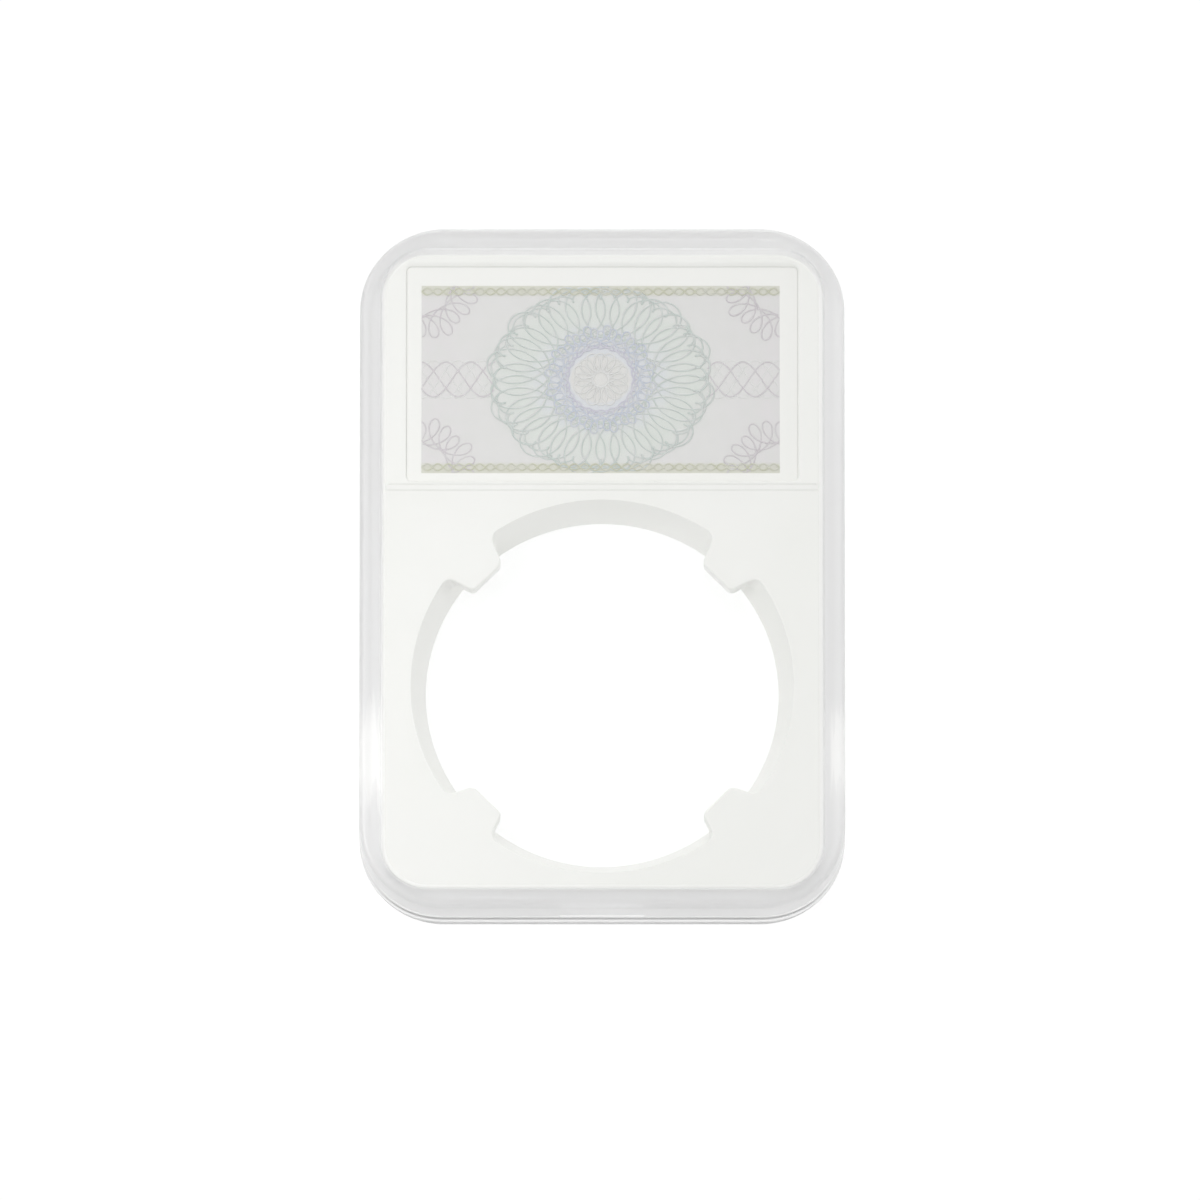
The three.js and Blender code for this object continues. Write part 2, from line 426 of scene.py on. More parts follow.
class Skin:
    """A closed mesh that grows from rings of points."""

    def __init__(self) -> None:
        """Starts empty."""
        self.mesh = bmesh.new()

    def ring(self, points: list[Vector], height: float) -> Ring:
        """Adds a ring of points at a height, both in millimetres."""
        return [self.mesh.verts.new((x * MM, y * MM, height * MM)) for x, y in points]

    def rings(self, levels: list[Level], steps: int = CORNER_STEPS) -> list[Ring]:
        """Adds the rings of a section's levels and the walls between them.

        Args:
            levels: The section.
            steps: Steps round each corner.

        Returns:
            A ring for each level.
        """
        made = [self.ring(outline.points(steps), height) for outline, height in levels]
        self.walls(made)
        return made

    def walls(self, rings: list[Ring]) -> None:
        """Joins each ring with the next by four-sided faces.

        Args:
            rings: Rings with as many points each.
        """
        for lower, upper in zip(rings, rings[1:]):
            for here in range(len(lower)):
                following = (here + 1) % len(lower)
                self.mesh.faces.new((lower[here], lower[following], upper[following], upper[here]))

    def cap(self, ring: Ring) -> None:
        """Closes a ring by one flat face."""
        self.mesh.faces.new(ring)

    def fill_between(self, rings: list[Ring]) -> None:
        """Fills the flat face that lies inside the first ring and outside the others.

        Args:
            rings: The face's outer edge, then the edge of each hole in it.
        """
        edges = []
        for ring in rings:
            for ends in zip([ring[-1], *ring], ring):
                edges.append(self.mesh.edges.get(ends) or self.mesh.edges.new(ends))
        bmesh.ops.triangle_fill(self.mesh, use_beauty=True, edges=edges, normal=(0.0, 0.0, 1.0))

    def piece(self, name: str, material: bpy.types.Material) -> bpy.types.Object:
        """Turns the skin into an object with outward faces.

        Args:
            name: The object's name.
            material: What it is made of.

        Returns:
            The new object, at the origin.
        """
        bmesh.ops.remove_doubles(self.mesh, verts=self.mesh.verts, dist=MERGE_DISTANCE * MM)
        bmesh.ops.recalc_face_normals(self.mesh, faces=self.mesh.faces)
        mesh = bpy.data.meshes.new(name)
        self.mesh.to_mesh(mesh)
        self.mesh.free()
        mesh.materials.append(material)
        return add_object(name, mesh)


def settle(piece: bpy.types.Object) -> None:
    """Turns a piece with its modifiers into a plain mesh.

    Args:
        piece: The object, which keeps its name and loses its modifiers.
    """
    depsgraph = bpy.context.evaluated_depsgraph_get()
    plain = bpy.data.meshes.new_from_object(
        piece.evaluated_get(depsgraph), preserve_all_data_layers=True, depsgraph=depsgraph
    )
    old = piece.data
    piece.modifiers.clear()
    piece.data = plain
    plain.name = piece.name
    bpy.data.meshes.remove(old)


def smooth(piece: bpy.types.Object) -> None:
    """Shades a piece smooth between its sharp edges, and keeps its flat faces flat.

    Args:
        piece: The object to shade.
    """
    piece.data.shade_smooth()
    piece.data.set_sharp_from_angle(angle=SHARP_EDGE)
    weighting = piece.modifiers.new("flat_faces", "WEIGHTED_NORMAL")
    weighting.keep_sharp = True
    weighting.weight = FLAT_FACE_WEIGHT
    settle(piece)


def grow(piece: bpy.types.Object, graph: Graph, sizes: dict[str, Any]) -> None:
    """Runs a Geometry Nodes tree on a piece and makes the result its mesh.

    Args:
        piece: The object that the tree works on.
        graph: The tree.
        sizes: Values of the tree's named inputs.
    """
    modifier = piece.modifiers.new(graph.tree.name, "NODES")
    modifier.node_group = graph.tree
    for name, value in sizes.items():
        modifier[graph.inputs[name]] = value
    settle(piece)


@dataclass(frozen=True)
class ClearPlastic:
    """Clear plastic: polished windows, and a matt rim painted greyer as shade, painted lighter by glints low
    on both sides.

    A span named edge gives the distances from the case's or the chamber's outline over which one finish
    turns into the next. They are below 0 inside the outline.
    """

    case: RoundedRectangle
    chamber: RoundedRectangle
    seam: float = SEAM_HEIGHT
    refraction: float = 1.5
    window_tint: Colour = (0.995, 0.998, 0.995)
    # The rim's grey and the darker grey of its inner band are painted shade; the windows are the same clear
    # plastic.
    rim_painted_shade: Colour = (0.876, 0.876, 0.876)
    tongue_painted_shade: Colour = (0.847, 0.847, 0.847)
    # Painted glint: the lighter colour of the rim low on both sides.
    painted_glint_colour: Colour = (0.96, 0.96, 0.955)
    rim_edge: Span = (-0.25, 0.0)
    matt_edge: Span = (-0.8, -0.5)
    tongue_edge: Span = (-1.6, -1.0)
    joint_edge: Span = (-0.2, -0.8)
    joint_depth: Span = (3.6, 3.2)  # from the seam, up and down
    window_roughness: float = 0.015
    rim_roughness: float = 0.29
    joint_roughness: float = 0.12
    haze_grain: float = 6.0
    haze_low: float = 0.85
    haze_spread: float = 0.3
    # Place and size of the painted glints on the rim.
    glint_y: float = -23.3
    glint_half: float = 5.2
    glint_ends: Span = (1.1, 0.85)  # shares of the half length
    glint_outer_edge: Span = (-2.0, -1.5)
    glint_left: Span = (1.0, -1.0)  # places along X
    streak_grain: float = 0.6
    streak_stretch: float = 0.05
    streak_spread: float = 3.0

    def painted_glints(self, graph: Graph, place: Wire) -> Wire:
        """Marks the painted glints, where the rim is painted lighter: all of it on the left, its outer half
        on the right.

        Args:
            graph: The material's graph.
            place: Where on the piece a point lies.

        Returns:
            1 in the painted glints, 0 elsewhere.
        """
        x, y, _ = graph.split(place)
        stretch = {0: place, 1: (1.0, self.streak_stretch, 1.0)}
        stretched = graph.wire("ShaderNodeVectorMath", stretch, operation="MULTIPLY")
        streaks = (graph.noise(stretched, self.streak_grain) - 0.5) * self.streak_spread
        along = abs(y - self.glint_y * MM) / (self.glint_half * MM) + streaks
        outer = self.case.distance(x, y).eased_mm(self.glint_outer_edge)
        across = outer.at_least(x.eased_mm(self.glint_left))
        return along.eased(*self.glint_ends) * across

    def material(self) -> bpy.types.Material:
        """Builds the material."""
        graph, material = Graph.of_material("clear_plastic")
        place = graph.place()
        x, y, z = graph.split(place)
        from_chamber, from_case = self.chamber.distance(x, y), self.case.distance(x, y)
        rim = from_chamber.eased_mm(self.rim_edge)
        matt = from_chamber.eased_mm(self.matt_edge)
        # Painted shade: the rim is tinted grey, and its inner band darker still.
        tint = graph.blend(from_case.eased_mm(self.tongue_edge), self.tongue_painted_shade, self.rim_painted_shade)
        # Painted glints: the rim painted lighter in streaks low on both sides.
        tint = graph.blend(self.painted_glints(graph, place), tint, self.painted_glint_colour)
        deep = abs(z - self.seam * MM).eased_mm(self.joint_depth)
        joint = rim * from_case.eased_mm(self.joint_edge) * deep
        haze = graph.noise(place, self.haze_grain) * self.haze_spread + self.haze_low
        roughness = self.window_roughness + matt * haze * self.rim_roughness + joint * self.joint_roughness
        surface = graph.wire("ShaderNodeBsdfPrincipled", {
            "Base Color": graph.blend(rim, self.window_tint, tint),
            "Roughness": roughness,
            "IOR": self.refraction,
            "Transmission Weight": 1.0,
        })
        clear = graph.wire("ShaderNodeBsdfTransparent", {"Color": WHITE})
        for kind in ("Diffuse", "Shadow"):
            surface = graph.wire("ShaderNodeMixShader", {0: graph.ray(kind), 1: surface, 2: clear})
        graph.finish_material(surface)
        return material


@dataclass(frozen=True)
class WhitePlastic:
    """Satin white moulded plastic with a fine grain."""

    colour: Colour = (0.885, 0.885, 0.86)
    shaded_colour: Colour = (0.87, 0.872, 0.842)
    roughness: float = 0.46
    roughness_spread: float = 0.08
    cloud_size: float = 14.0
    cloud_levels: Span = (0.35, 0.7)
    grain_size: float = 0.22
    grain_depth: float = 0.004
    noise_detail: float = 3.0

    def material(self) -> bpy.types.Material:
        """Builds the material."""
        graph, material = Graph.of_material("white_plastic")
        place = graph.place()
        clouds = graph.noise(place, self.cloud_size, self.noise_detail)
        grain = graph.noise(place, self.grain_size, self.noise_detail)
        graph.finish_principled({
            "Base Color": graph.blend(clouds.eased(*self.cloud_levels), self.colour, self.shaded_colour),
            "Roughness": self.roughness + (grain - 0.5) * self.roughness_spread,
            "Normal": graph.bump(grain, self.grain_depth),
        })
        return material


@dataclass(frozen=True)
class PrintedCard:
    """White card with soft printed tints: a round motif, a ground that turns rose at the sides, olive edges.

    A tint's from gives the distances, in millimetres, over which it comes in: from the card's middle line
    for the rose, from the motif's middle for the round tints, and from the print's edge for the olive.
    """

    field: RoundedRectangle
    aside: float
    paper: Colour = (0.872, 0.872, 0.845)
    ground: Colour = (0.695, 0.69, 0.68)
    rose: Colour = (0.695, 0.675, 0.68)
    rose_from: Span = (13.0, 21.0)
    rose_patches: Span = (0.3, 0.7)
    green: Colour = (0.65, 0.695, 0.65)
    green_from: Span = (15.5, 11.0)
    green_share: float = 0.8
    blue: Colour = (0.66, 0.68, 0.725)
    blue_from: Span = (10.0, 6.5)
    blue_share: float = 0.85
    centre: Colour = (0.705, 0.70, 0.68)
    centre_from: Span = (4.1, 3.5)
    olive: Colour = (0.63, 0.63, 0.53)
    olive_from: Span = (1.5, 0.9)
    olive_share: float = 0.85
    pale_and_highlight: Colour = (0.78, 0.77, 0.77)
    pale_patches: Span = (0.3, 0.75)
    pale_share: float = 0.18
    motif_squash: float = 1.25
    motif_wander: float = 3.0
    mottle_size: float = 2.2
    fibre_size: float = 0.16
    fibre_depth: float = 0.004
    noise_detail: float = 4.0
    print_edge: Span = (-0.03, 0.03)
    roughness: float = 0.5
    roughness_spread: float = 0.2
    gloss: float = 0.12
    gloss_roughness: float = 0.3

    def material(self) -> bpy.types.Material:
        """Builds the material."""
        graph, material = Graph.of_material("printed_card")
        place = graph.place()
        x, y, _ = graph.split(place)
        across, up = x - self.aside * MM, y - self.field.middle_y * MM
        mottle = graph.noise(place, self.mottle_size, self.noise_detail)
        fibre = graph.noise(place, self.fibre_size, self.noise_detail)
        from_middle = across.length_with(up * self.motif_squash)
        radius = from_middle + (mottle - 0.5) * (self.motif_wander * MM)
        from_edge = self.field.half_y * MM - abs(up)
        layers = [
            (abs(across).eased_mm(self.rose_from) * mottle.eased(*self.rose_patches), self.rose),
            (radius.eased_mm(self.green_from) * self.green_share, self.green),
            (radius.eased_mm(self.blue_from) * self.blue_share, self.blue),
            (from_middle.eased_mm(self.centre_from), self.centre),
            (from_edge.eased_mm(self.olive_from) * self.olive_share, self.olive),
            (mottle.eased(*self.pale_patches) * self.pale_share, self.pale_and_highlight),
        ]
        tint = self.ground
        for share, colour in layers:
            tint = graph.blend(share, tint, colour)
        bare = self.field.distance(across, y).eased_mm(self.print_edge)
        graph.finish_principled({
            "Base Color": graph.blend(bare, tint, self.paper),
            "Roughness": self.roughness + (fibre - 0.5) * self.roughness_spread,
            "Coat Weight": self.gloss,
            "Coat Roughness": self.gloss_roughness,
            "Normal": graph.bump(fibre, self.fibre_depth),
        })
        return material


@dataclass(frozen=True)
class InkFinish:
    """Thin printed ink, a little uneven as print is."""

    colour: Colour
    worn_tone: float = 0.72
    worn_share: float = 0.45
    patch_size: float = 1.4
    patch_levels: Span = (0.35, 0.72)
    noise_detail: float = 3.0
    roughness: float = 0.45
    roughness_spread: float = 0.15

    def material(self, name: str) -> bpy.types.Material:
        """Builds the material.

        Args:
            name: The material's name.

        Returns:
            The new material.
        """
        graph, material = Graph.of_material(name)
        fade = graph.noise(graph.place(), self.patch_size, self.noise_detail)
        worn = tuple(part + (self.worn_tone - part) * self.worn_share for part in self.colour)
        graph.finish_principled({
            "Base Color": graph.blend(fade.eased(*self.patch_levels), self.colour, worn),
            "Roughness": self.roughness + fade * self.roughness_spread,
        })
        return material


class Ink(Enum):
    """The inks of the label's line work, each with its colour."""

    # Pale is print in some families, and painted highlight in the copies beside the green and blue rosettes.
    PALE_AND_HIGHLIGHT = (0.74, 0.74, 0.73)
    GREEN = (0.56, 0.62, 0.59)
    BLUE = (0.56, 0.60, 0.69)
    VIOLET = (0.58, 0.57, 0.67)
    ROSE = (0.61, 0.57, 0.60)
    OLIVE = (0.57, 0.58, 0.44)

    def material(self) -> bpy.types.Material:
        """The ink's material."""
        return InkFinish(self.value).material(f"ink_{self.name.lower()}")


class Fit(Enum):
    """How a shell meets the other one at the seam."""

    TONGUE = "tongue"
    SKIRT = "skirt"


@dataclass
class Shell:
    """One clear shell of the case. Its heights are measured from its rim towards the seam."""

    node: str
    name: str
    case: RoundedRectangle
    chamber: RoundedRectangle
    rim_height: float
    direction: int
    fit: Fit
    rim_rise: float = 0.6
    window: float = 1.2
    seam: float = SEAM_HEIGHT
    edge_round: float = 0.7
    rim_bevel: float = 0.25
    seam_bevel: float = 0.15
    inner_round: float = 0.25
    skirt: float = 1.1
    tongue_clearance: float = 0.3
    tongue_top: float = 7.3
    tongue_edge: float = 0.2
    tongue_land: float = 0.05
    notch_width: float = 10.4
    notch_depth: float = 0.8
    notch_height: float = 0.9
    notch_edge: float = 0.15

    def seam_levels(self) -> list[Level]:
        """The levels from the seam's outer edge over the tongue or up inside the skirt to the window."""
        case, chamber, seam, small = self.case, self.chamber, self.seam, self.seam_bevel
        inner_face = self.rim_rise + self.window
        if self.fit is Fit.SKIRT:
            side = self.skirt
            return [
                *rounding(case, (side - small, seam), (side, seam - small), Leaves.FLAT),
                *rounding(case, (side, inner_face + small), (side + small, inner_face), Leaves.UPRIGHT),
            ]
        side, top = self.skirt + self.tongue_clearance, self.tongue_top
        edge, land, inner = self.tongue_edge, self.tongue_land, self.inner_round
        return [
            *rounding(case, (side - small, seam), (side, seam + small), Leaves.FLAT),
            *rounding(case, (side, top - edge), (side + edge, top), Leaves.UPRIGHT),
            *rounding(chamber, (-land, top), (0, top - land), Leaves.FLAT),
            *rounding(chamber, (0, inner_face + inner), (inner, inner_face), Leaves.UPRIGHT),
        ]

    def section(self) -> list[Level]:
        """The shell's levels from the outer face of its window round the rim and in to the inner face."""
        case, chamber, inner = self.case, self.chamber, self.inner_round
        levels = [
            *rounding(chamber, (inner, self.rim_rise), (0, self.rim_rise - inner), Leaves.FLAT),
            *rounding(chamber, (0, self.rim_bevel), (-self.rim_bevel, 0), Leaves.UPRIGHT),
            *rounding(case, (self.edge_round, 0), (0, self.edge_round), Leaves.FLAT),
            *rounding(case, (0, self.seam - self.seam_bevel), (self.seam_bevel, self.seam), Leaves.UPRIGHT),
            *self.seam_levels(),
        ]
        return [(outline, self.rim_height + self.direction * height) for outline, height in levels]

    def cut_notch(self, piece: bpy.types.Object) -> None:
        """Cuts the pry notch into the skirt at the slab's lower end.

        Args:
            piece: The shell with the skirt.
        """
        seam = self.rim_height + self.direction * self.seam
        top, edge, depth = seam + self.notch_height, self.notch_edge, self.notch_depth
        mouth = RoundedRectangle(self.notch_width / 2, depth, depth / 2, -self.case.half_y)
        levels = [
            (mouth, seam - self.notch_height),
            *rounding(mouth, (0, top - edge), (edge, top), Leaves.UPRIGHT),
        ]
        cutter = Skin()
        rings = cutter.rings(levels, SMALL_CORNER_STEPS)
        cutter.cap(rings[0])
        cutter.cap(rings[-1])
        tool = cutter.piece("notch_cutter", piece.data.materials[0])
        cut = piece.modifiers.new("pry_notch", "BOOLEAN")
        cut.operation = "DIFFERENCE"
        cut.object = tool
        settle(piece)
        bpy.data.objects.remove(tool)

    def build(self, material: bpy.types.Material) -> bpy.types.Object:
        """Builds the shell in the place of its node.

        Args:
            material: The clear plastic.

        Returns:
            The finished piece.
        """
        skin = Skin()
        rings = skin.rings(self.section())
        skin.cap(rings[0])
        skin.cap(rings[-1])
        piece = skin.piece(self.name, material)
        if self.fit is Fit.SKIRT:
            self.cut_notch(piece)
        smooth(piece)
        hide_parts(self.node)
        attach(piece, self.node)
        return piece


@dataclass
class CoinInsert:
    """The white plate with the pronged coin hole, the label pocket and the rib between them.

    Each of the rib's slopes tells over which part of the rib's width one of its soft steps rises.
    """

    box: NodeBox
    card: NodeBox
    coin_middle: Vector
    corner: float = INSERT_CORNER
    edge_round: float = 0.3
    rib_height: float = 0.35
    rib_width: float = 1.1
    rib_end_inset: float = 0.3
    rib_corner: float = 0.03
    rib_corner_steps: int = 3
    rib_slopes: tuple[Span, ...] = ((0.02, 0.3), (0.76, 1.0))
    rib_gap: float = 0.015
    pocket_clearance: float = 0.015
    pocket_lip: float = 0.3
    pocket_lip_top: float = 0.3
    pocket_corner: float = CARD_CORNER
    pocket_edge: float = 0.1
    under_gap: float = 0.03
    coin_radius: float = 20.0
    coin_drop: float = 0.35
    hole_radius: float = 21.75
    hole_flare: float = 1.9
    face_edge: float = 0.06
    prong_thickness: float = 2.4
    prong_flat: float = 5.0
    prong_root: float = 7.8
    prong_corner: float = 0.95
    prong_edge: float = 0.28
    root_round: float = 1.2
    hole_edge: float = 0.2
    prong_turns: tuple[float, ...] = (45.0, 135.0, 225.0, 315.0)
    arc_steps: int = 20
    corner_steps: int = 7

    @property
    def face(self) -> float:
        """The height of the plate's front face."""
        return self.box.high.z - self.rib_height

    def half_prong(self, radius: float, sink: float) -> list[Vector]:
        """Works out the hole's outline from the middle of a prong's tip to midway to the next prong.

        Args:
            radius: The hole's radius at this height.
            sink: How far the prong is drawn back into its own plastic.

        Returns:
            Points round the coin's centre, with the prong along +X.
        """
        reach = self.hole_radius + self.hole_flare - self.coin_radius
        slant = math.atan2((self.prong_root - self.prong_flat) / 2, reach)
        along = heading(slant)
        out = Vector((-along.y, along.x))
        start = Vector((self.coin_radius, self.prong_flat / 2))
        drop = self.prong_corner * (1 - math.sin(slant)) / math.cos(slant)
        tip_centre = start + Vector((self.prong_corner, -drop))
        points = [Vector((self.coin_radius + sink, 0.0))]
        for step in range(self.corner_steps + 1):
            angle = math.pi - (math.pi / 2 - slant) * step / self.corner_steps
            points.append(tip_centre + (self.prong_corner - sink) * heading(angle))
        fillet = self.root_round + sink
        base = start + self.root_round * out
        ahead = base.dot(along)
        slide = -ahead + math.sqrt(ahead ** 2 - base.length_squared + (radius - fillet) ** 2)
        root_centre = base + slide * along
        root_turn = math.atan2(root_centre.y, root_centre.x)
        for step in range(self.corner_steps + 1):
            angle = slant - math.pi / 2 + (root_turn - slant + math.pi / 2) * step / self.corner_steps
            points.append(root_centre + fillet * heading(angle))
        for step in range(1, self.arc_steps + 1):
            angle = root_turn + (math.pi / 4 - root_turn) * step / self.arc_steps
            points.append(radius * heading(angle))
        return points

    def hole_points(self, radius: float, sink: float = 0.0, pronged: bool = True) -> list[Vector]:
        """Works out the hole's whole outline.

        Args:
            radius: The hole's radius at this height.
            sink: How far the prongs are drawn back.
            pronged: False gives a plain circle with the same number of points.

        Returns:
            The outline's points, counter-clockwise.
        """
        half = self.half_prong(radius, sink)
        sector = [Vector((p.x, -p.y)) for p in reversed(half[1:])] + half[:-1]
        if not pronged:
            sector = [p.normalized() * radius for p in sector]
        points = []
        for turn in self.prong_turns:
            for p in sector:
                tip_share = max(0.0, min(1.0, (radius - p.length) / (radius - self.coin_radius)))
                middle = self.coin_middle + Vector((0.0, self.coin_drop * (1 - tip_share)))
                points.append(middle + Matrix.Rotation(math.radians(turn), 2) @ p)
        return points

    def radius_at(self, height: float) -> float:
        """The hole's radius at a height: it widens evenly from the back face to the front face."""
        back = self.box.low.z
        return self.hole_radius + self.hole_flare * (height - back) / (self.face - back)

    def hole_rings(self, skin: Skin) -> list[Ring]:
        """Adds the hole's wall from the back face up to the front face, with the prongs' undersides.

        Args:
            skin: The plate's skin.

        Returns:
            The wall's rings, the lowest first.
        """
        back, face = self.box.low.z + self.under_gap, self.face
        underside = face - self.prong_thickness
        rings = []
        for angle in QUARTER_TURN:
            height = back + self.hole_edge * (1 - math.cos(angle))
            wide = self.radius_at(height) + self.hole_edge * (1 - math.sin(angle))
            rings.append(skin.ring(self.hole_points(wide, pronged=False), height))
        rings.append(skin.ring(self.hole_points(self.radius_at(underside), pronged=False), underside))
        for angle in QUARTER_TURN:
            height = underside + self.prong_edge * (1 - math.cos(angle))
            sink = self.prong_edge * (1 - math.sin(angle))
            rings.append(skin.ring(self.hole_points(self.radius_at(height), sink), height))
        for angle in QUARTER_TURN:
            height = face - self.prong_edge * (1 - math.sin(angle))
            sink = self.prong_edge * (1 - math.cos(angle))
            wide = self.radius_at(height) + self.face_edge * (1 - math.cos(angle))
            rings.append(skin.ring(self.hole_points(wide, sink), height))
        skin.walls(rings)
        return rings

    def rib_levels(self, top: float) -> list[Level]:
        """Works out the levels of the rib, which rises towards the label in soft steps.

        Args:
            top: Where its upper edge lies along Y.

        Returns:
            Its outlines with their heights, the lowest first.
        """
        levels = []
        rise = self.rib_height / len(self.rib_slopes)
        for number, (start, end) in enumerate(self.rib_slopes):
            for step in range(ROUND_STEPS + 1):
                share = step / ROUND_STEPS
                inset = start + (end - start) * share
                height = self.face + rise * (number + share * share * (3 - 2 * share))
                half_x = self.box.high.x - self.rib_end_inset - inset * self.rib_end_inset
                half_y = (self.rib_width - inset) / 2
                levels.append((RoundedRectangle(half_x, half_y, self.rib_corner, top - half_y), height))
        return levels

    def pocket_levels(self) -> list[Level]:
        """The levels of the label pocket, from the soft lip on the plate's face down to its floor."""
        pocket = self.card.outline(self.pocket_corner).drawn_in(-self.pocket_clearance)
        floor = self.card.low.z - self.under_gap
        face, lip, small = self.face, self.pocket_lip, self.pocket_edge
        return [
            *((outline.raised(self.pocket_lip_top * (1 - (face - height) / lip)), height)
              for outline, height in rounding(pocket, (-lip, face), (0, face - lip), Leaves.FLAT)),
            *rounding(pocket, (0, floor + small), (small, floor), Leaves.UPRIGHT),
        ]

    def build(self, material: bpy.types.Material) -> bpy.types.Object:
        """Builds the insert in the place of its node.

        Args:
            material: The white plastic.

        Returns:
            The finished piece.
        """
        skin = Skin()
        back, face, edge = self.box.low.z + self.under_gap, self.face, self.edge_round
        plate = self.box.outline(self.corner)
        sides = skin.rings([
            *rounding(plate, (edge, back), (0, back + edge), Leaves.FLAT),
            *rounding(plate, (0, face - edge), (edge, face), Leaves.UPRIGHT),
        ])
        hole = self.hole_rings(skin)
        pocket = skin.rings(self.pocket_levels(), SMALL_CORNER_STEPS)
        pocket_end = self.card.low.y - self.pocket_clearance - self.pocket_lip
        rib = skin.rings(self.rib_levels(pocket_end - self.rib_gap), self.rib_corner_steps)
        skin.cap(pocket[-1])
        skin.cap(rib[-1])
        skin.fill_between([sides[-1], hole[-1], pocket[0], rib[0]])
        skin.fill_between([sides[0], hole[0]])
        piece = skin.piece("coin_insert_plate", material)
        smooth(piece)
        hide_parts("coin_insert")
        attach(piece, "coin_insert")
        return piece


@dataclass(frozen=True)
class Rosette:
    """A family of closed looped lines: a point on a small wheel that rolls round a large one."""

    ink: Ink
    radius: float
    wave: float
    gear: int
    copies: int
    across: float = 0.0
    up: float = 0.0
    growth: float = 0.0
    squash: float = 1.0


@dataclass(frozen=True)
class WaveBand:
    """A family of waved lines across the label, each shifted from the last."""

    ink: Ink
    amplitude: float
    wave_length: float
    copies: int
    up: float = 0.0
    clear: float = 0.0


def looped_lines_tree(weave: float) -> Graph:
    """Builds the tree of a rosette: one looped line, its turned copies, and their place.

    Args:
        weave: How far a line rises and sinks along its way, as a share of the height step, so that it
            never meets itself in one plane.

    Returns:
        The tree, with its sizes as named inputs.
    """
    graph = Graph.of_geometry("looped_lines")
    points, radius, wave, gear, copies, turn, growth, squash, place, step = graph.named_inputs({
        "Points": "Int", "Radius": "Float", "Wave": "Float", "Gear": "Float", "Copies": "Int",
        "Turn": "Float", "Growth": "Float", "Squash": "Float", "Place": "Vector", "Height Step": "Float",
    })
    index = graph.wire("GeometryNodeInputIndex")
    angle = index * math.tau / points
    shape = graph.joined(
        X=radius * angle.cosine() + wave * (gear * angle).cosine(),
        Y=radius * angle.sine() + wave * (gear * angle).sine(),
        Z=step * weave * (angle / 2).cosine(),
    )
    circle = graph.wire("GeometryNodeCurvePrimitiveCircle", {"Resolution": points})
    line = graph.wire("GeometryNodeSetPosition", {"Geometry": circle, "Position": shape})
    stack = graph.wire("GeometryNodeMeshLine", {"Count": copies, "Offset": graph.joined(Z=step)})
    size = 1.0 + index * growth
    family = graph.wire("GeometryNodeInstanceOnPoints", {
        "Points": stack,
        "Instance": line,
        "Rotation": graph.joined(Z=index * turn),
        "Scale": graph.joined(X=size, Y=size, Z=1.0),
    })
    family = graph.wire("GeometryNodeRealizeInstances", {"Geometry": family})
    family = graph.wire("GeometryNodeCurveToMesh", {"Curve": family})
    family = graph.wire("GeometryNodeTransform", {
        "Geometry": family, "Translation": place, "Scale": graph.joined(X=1.0, Y=squash, Z=1.0),
    })
    graph.add("NodeGroupOutput", {0: family})
    return graph


def waved_lines_tree() -> Graph:
    """Builds the tree of a wave band: one waved line and its shifted copies.

    Returns:
        The tree, with its sizes as named inputs.
    """
    graph = Graph.of_geometry("waved_lines")
    points, length, amplitude, wave_length, copies, place, step, clear = graph.named_inputs({
        "Points": "Int", "Length": "Float", "Amplitude": "Float", "Wave Length": "Float", "Copies": "Int",
        "Place": "Vector", "Height Step": "Float", "Clear Radius": "Float",
    })
    index = graph.wire("GeometryNodeInputIndex")
    along = (index / points - 0.5) * length
    shape = graph.joined(X=along, Y=amplitude * (along * math.tau / wave_length).sine())
    line = graph.wire("GeometryNodeMeshLine", {"Count": points})
    line = graph.wire("GeometryNodeSetPosition", {"Geometry": line, "Position": shape})
    shift = graph.joined(X=wave_length / copies, Z=step)
    stack = graph.wire("GeometryNodeMeshLine", {"Count": copies, "Offset": shift})
    family = graph.wire("GeometryNodeInstanceOnPoints", {"Points": stack, "Instance": line})
    family = graph.wire("GeometryNodeRealizeInstances", {"Geometry": family})
    family = graph.wire("GeometryNodeTransform", {"Geometry": family, "Translation": place})
    x, y, _ = graph.split(graph.wire("GeometryNodeInputPosition"))
    covered = clear > x.length_with(y)
    family = graph.wire("GeometryNodeDeleteGeometry", {"Geometry": family, "Selection": covered})
    graph.add("NodeGroupOutput", {0: family})
    return graph


